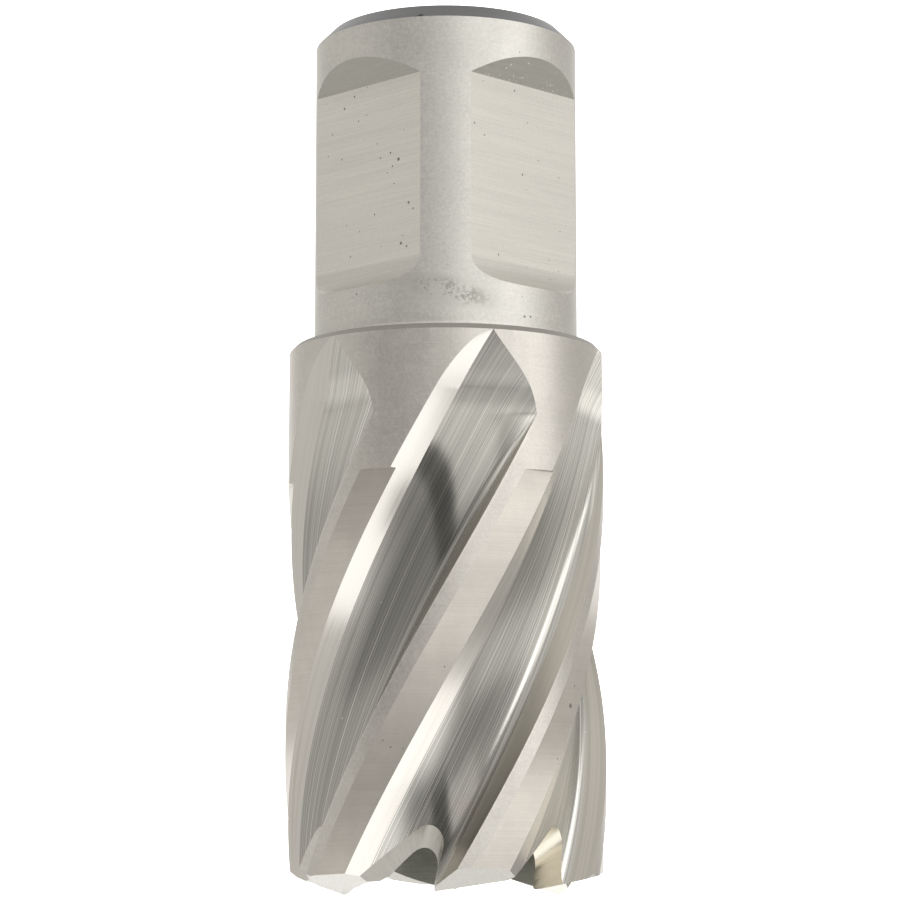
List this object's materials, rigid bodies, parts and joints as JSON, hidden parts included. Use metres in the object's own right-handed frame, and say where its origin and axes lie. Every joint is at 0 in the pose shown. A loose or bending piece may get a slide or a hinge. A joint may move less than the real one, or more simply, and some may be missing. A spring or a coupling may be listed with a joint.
{
  "type": "annular cutter",
  "caption": "Hollow fluted cutter with a flatted round shank that cuts a ring-shaped groove and leaves a round slug of metal in its core.",
  "frame": {"origin": "on the cutter's axis in the plane of the tooth tips", "axes": "+Z along the cutter's axis from the teeth to the free end of the shank, -Y towards the viewer with the two clamping flats turned 45 degrees to either side"},
  "size_m": [0.0228, 0.0228, 0.0624],
  "materials": {
    "ground_steel": "ground and brushed tool steel, light wear"
  },
  "bodies": {
    "root": {"annular_cutter": "ground_steel"}
  },
  "joints": []
}
